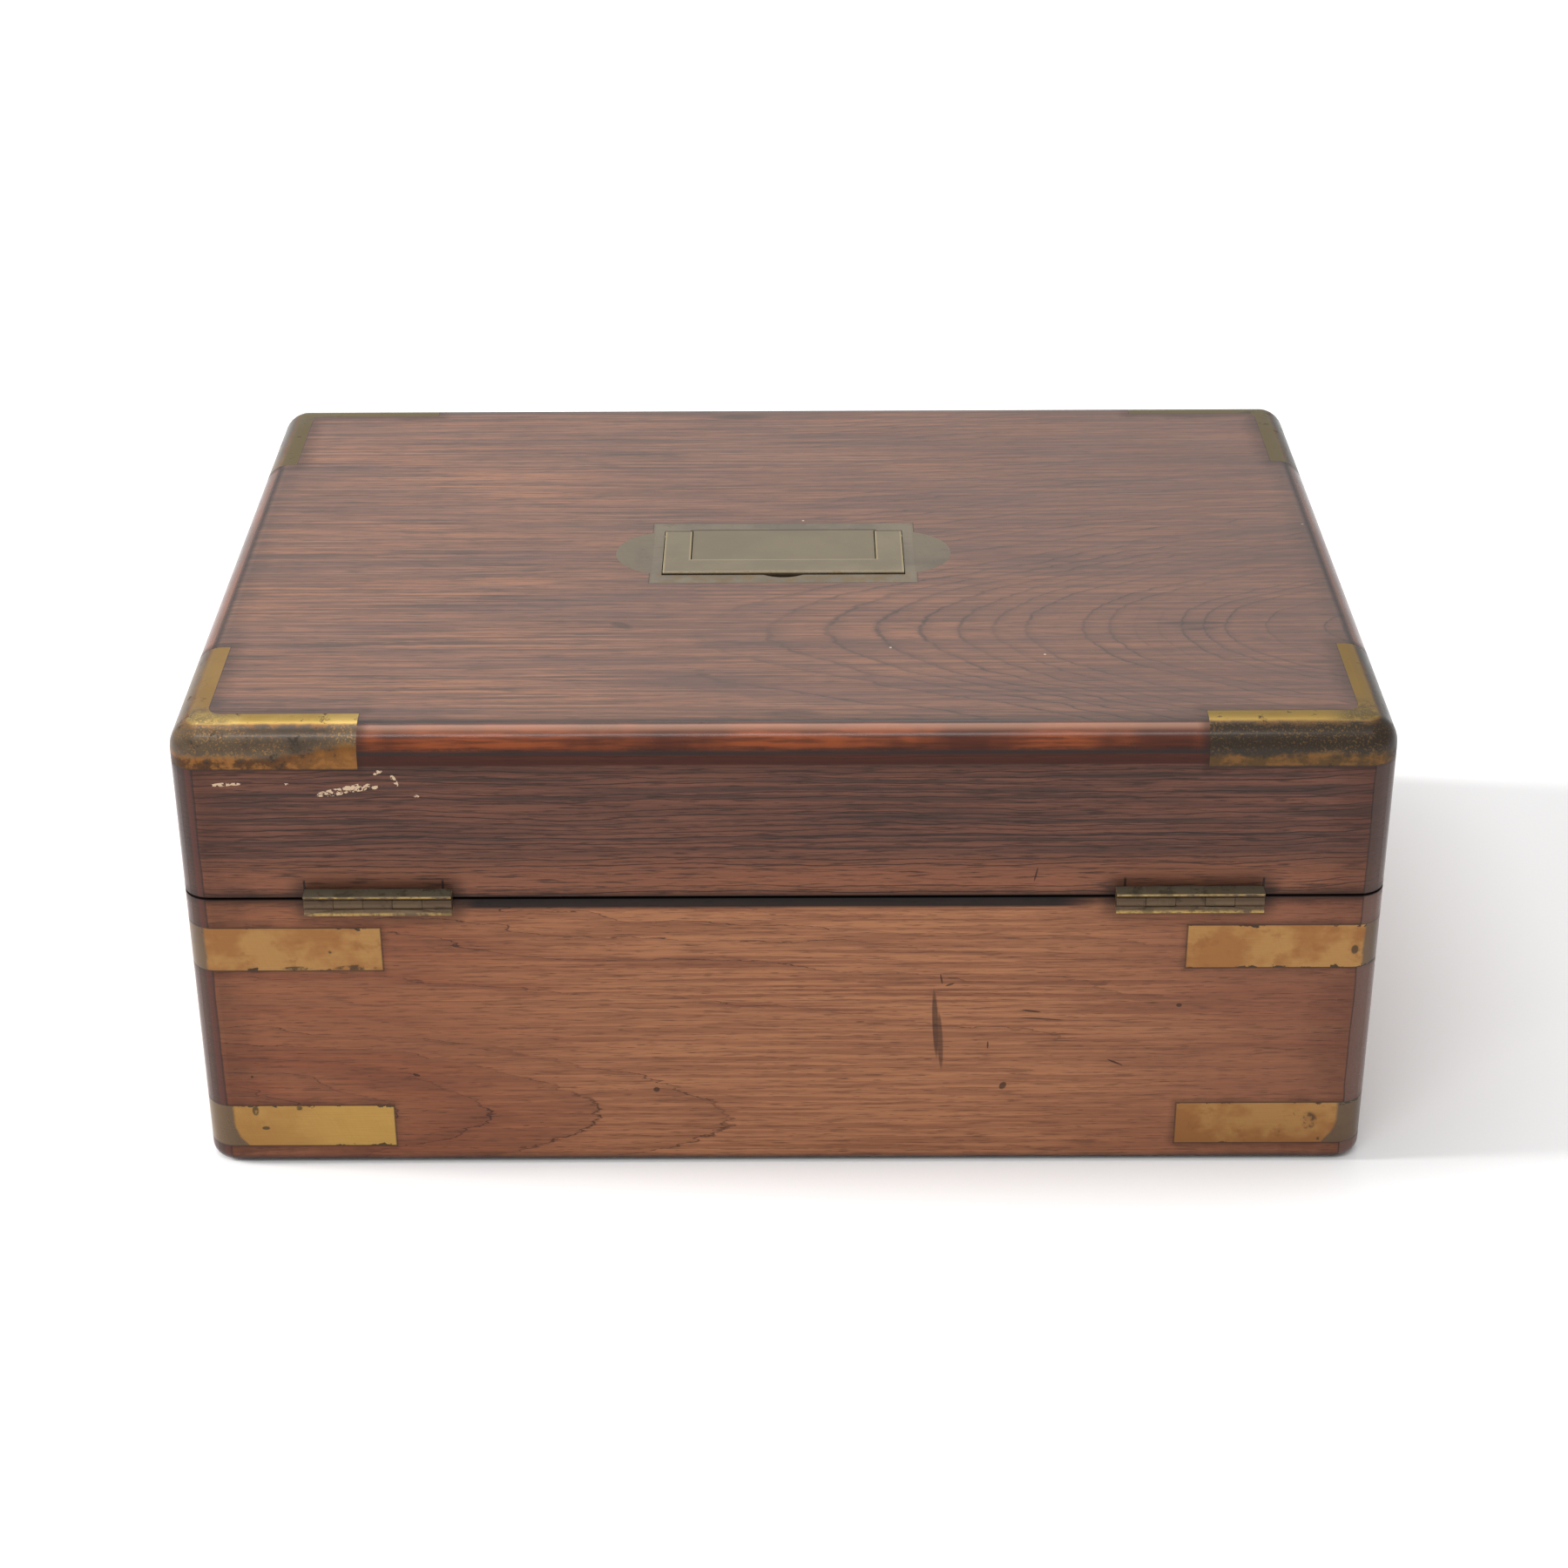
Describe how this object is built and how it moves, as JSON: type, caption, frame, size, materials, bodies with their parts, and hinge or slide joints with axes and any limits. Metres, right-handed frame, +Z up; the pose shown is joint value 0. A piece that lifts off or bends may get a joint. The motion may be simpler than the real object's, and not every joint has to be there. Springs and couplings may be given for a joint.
{
  "type": "marine chronometer in a travelling case",
  "caption": "Brass-bound rosewood travelling case with a flush bail handle, opening on a gimballed box chronometer and a lift-out tray.",
  "frame": {"origin": "centre of the case's flat underside", "axes": "+Z up; +Y from the hinged back to the lock front; +X along the case's width"},
  "size_m": [0.33, 0.2645, 0.1406],
  "materials": {
    "rosewood_veneer": "waxed rosewood veneer, grain along X",
    "rosewood_top": "figured rosewood veneer, satin wax",
    "rosewood_lipping": "solid rosewood lipping, french polished",
    "pine_carcass": "plain underside, oiled",
    "mahogany": "polished mahogany",
    "inlaid_brass": "flush brass, worn, patina in the corners",
    "antique_brass": "dark antique brass with rubbed edges",
    "steel": "old steel, slightly tarnished",
    "velvet": "crimson velvet over padding",
    "lacquered_brass": "lacquered, finely turned brass",
    "polished_steel": "polished steel",
    "blued_steel": "heat-blued steel",
    "crystal": "clear bevelled glass",
    "silvered_dial": "silvered brass, finely grained"
  },
  "bodies": {
    "case": {"base_back_board": "rosewood_veneer", "base_front_board": "rosewood_veneer", "base_left_board": "rosewood_veneer", "base_right_board": "rosewood_veneer", "base_bottom_board": "pine_carcass", "lower_corner_straps": "inlaid_brass", "upper_corner_straps": "inlaid_brass", "hinge_base_leaves": "antique_brass", "hinge_pins": "antique_brass", "base_screws": "steel", "lock_body": "antique_brass", "keyhole_escutcheon": "inlaid_brass", "partition_left": "mahogany", "partition_right": "mahogany", "tray_ledges": "mahogany", "gimbal_bracket_left": "lacquered_brass", "gimbal_bracket_right": "lacquered_brass"},
    "lid": {"lid_back_board": "rosewood_veneer", "lid_front_board": "rosewood_veneer", "lid_left_board": "rosewood_veneer", "lid_right_board": "rosewood_veneer", "lid_top_panel": "rosewood_top", "lid_edge_lipping": "rosewood_lipping", "lid_corner_caps": "inlaid_brass", "hinge_lid_leaves": "antique_brass", "lid_screws": "steel", "link_plate": "antique_brass", "handle_plate": "antique_brass", "handle_pins": "antique_brass", "lid_lining": "velvet"},
    "bail": {"handle_bail": "antique_brass"},
    "key": {"lock_key": "steel"},
    "bolt": {"lock_bolt": "antique_brass"},
    "tray": {"accessory_tray": "mahogany"},
    "loose_winding_key": {"winding_key": "lacquered_brass"},
    "lock_arm": {"gimbal_lock_arm": "lacquered_brass"},
    "ring": {"gimbal_ring": "lacquered_brass", "gimbal_pivots": "lacquered_brass"},
    "chronometer": {"bowl": "lacquered_brass", "bezel": "lacquered_brass", "glass": "crystal", "dial": "silvered_dial", "pillar_plate": "lacquered_brass", "top_plate": "lacquered_brass", "barrel_arbor": "polished_steel", "detent": "polished_steel"},
    "seconds": {"seconds_hand": "blued_steel", "fourth_wheel": "lacquered_brass"},
    "minutes": {"minute_hand": "blued_steel", "centre_wheel": "lacquered_brass"},
    "hours": {"hour_hand": "blued_steel"},
    "third": {"third_wheel": "lacquered_brass"},
    "escape": {"escape_wheel": "lacquered_brass"},
    "fusee_body": {"fusee": "lacquered_brass"},
    "barrel": {"spring_barrel": "lacquered_brass"},
    "reserve": {"up_down_hand": "blued_steel"},
    "balance": {"balance_wheel": "lacquered_brass", "balance_spring": "polished_steel"}
  },
  "joints": [
    {"name": "lid_hinge", "type": "hinge", "parent": "case", "child": "lid", "pos_m": [0, -0.1196, 0.0884], "axis": [1, 0, 0], "range_deg": [0, 95]},
    {"name": "bail_pivot", "type": "hinge", "parent": "lid", "child": "bail", "pos_m": [0, 0.0108, 0.1386], "axis": [-1, 0, 0], "range_deg": [0, 90]},
    {"name": "key_turn", "type": "hinge", "parent": "case", "child": "key", "pos_m": [0, 0.11, 0.07], "axis": [0, 1, 0], "range_deg": [0, 90]},
    {"name": "bolt_slide", "type": "slide", "parent": "case", "child": "bolt", "axis": [1, 0, 0], "range_m": [0, 0.005]},
    {"name": "tray_lift", "type": "slide", "parent": "case", "child": "tray", "axis": [0, 0, 1], "range_m": [0, 0.04]},
    {"name": "winding_key_lift", "type": "slide", "parent": "tray", "child": "loose_winding_key", "axis": [0, 0, 1], "range_m": [0, 0.03]},
    {"name": "gimbal_lock_swing", "type": "hinge", "parent": "case", "child": "lock_arm", "pos_m": [-0.077, -0.012, 0.08], "axis": [0, 0, 1], "range_deg": [0, 90]},
    {"name": "gimbal_tilt", "type": "hinge", "parent": "case", "child": "ring", "pos_m": [0, 0, 0.074], "axis": [1, 0, 0], "range_deg": [-25, 25]},
    {"name": "bowl_tilt", "type": "hinge", "parent": "ring", "child": "chronometer", "pos_m": [0, 0, 0.074], "axis": [0, 1, 0], "range_deg": [-15, 15]},
    {"name": "seconds_turn", "type": "hinge", "parent": "chronometer", "child": "seconds", "pos_m": [0, 0.024, 0.074], "axis": [0, 0, -1], "continuous": true},
    {"name": "minutes_turn", "type": "hinge", "parent": "chronometer", "child": "minutes", "pos_m": [0, 0, 0.074], "axis": [0, 0, -1], "continuous": true},
    {"name": "hours_turn", "type": "hinge", "parent": "chronometer", "child": "hours", "pos_m": [0, 0, 0.074], "axis": [0, 0, -1], "continuous": true},
    {"name": "third_turn", "type": "hinge", "parent": "chronometer", "child": "third", "pos_m": [0.00905, 0.01325, 0.074], "axis": [0, 0, -1], "continuous": true},
    {"name": "escape_turn", "type": "hinge", "parent": "chronometer", "child": "escape", "pos_m": [-0.01076, 0.02257, 0.074], "axis": [0, 0, -1], "continuous": true},
    {"name": "fusee_turn", "type": "hinge", "parent": "chronometer", "child": "fusee_body", "pos_m": [0.016, -0.016, 0.074], "axis": [0, 0, -1], "continuous": true},
    {"name": "barrel_turn", "type": "hinge", "parent": "chronometer", "child": "barrel", "pos_m": [-0.02, -0.016, 0.074], "axis": [0, 0, -1], "continuous": true},
    {"name": "reserve_turn", "type": "hinge", "parent": "chronometer", "child": "reserve", "pos_m": [0, -0.024, 0.074], "axis": [0, 0, -1], "continuous": true},
    {"name": "balance_swing", "type": "hinge", "parent": "chronometer", "child": "balance", "pos_m": [-0.017, 0.014, 0.074], "axis": [0, 0, 1], "range_deg": [-180, 180], "stiffness_Nm_per_rad": 0.000035}
  ],
  "couplings": [
    {"joint": "bolt_slide", "follows": "key_turn", "m_per_rad": 0.0031799},
    {"joint": "minutes_turn", "follows": "seconds_turn", "ratio": 0.016667},
    {"joint": "hours_turn", "follows": "seconds_turn", "ratio": 0.0013889},
    {"joint": "third_turn", "follows": "seconds_turn", "ratio": -0.13333},
    {"joint": "escape_turn", "follows": "seconds_turn", "ratio": -7.5},
    {"joint": "fusee_turn", "follows": "seconds_turn", "ratio": -0.0025926},
    {"joint": "barrel_turn", "follows": "seconds_turn", "ratio": -0.0017111},
    {"joint": "reserve_turn", "follows": "seconds_turn", "ratio": 0.0002}
  ]
}
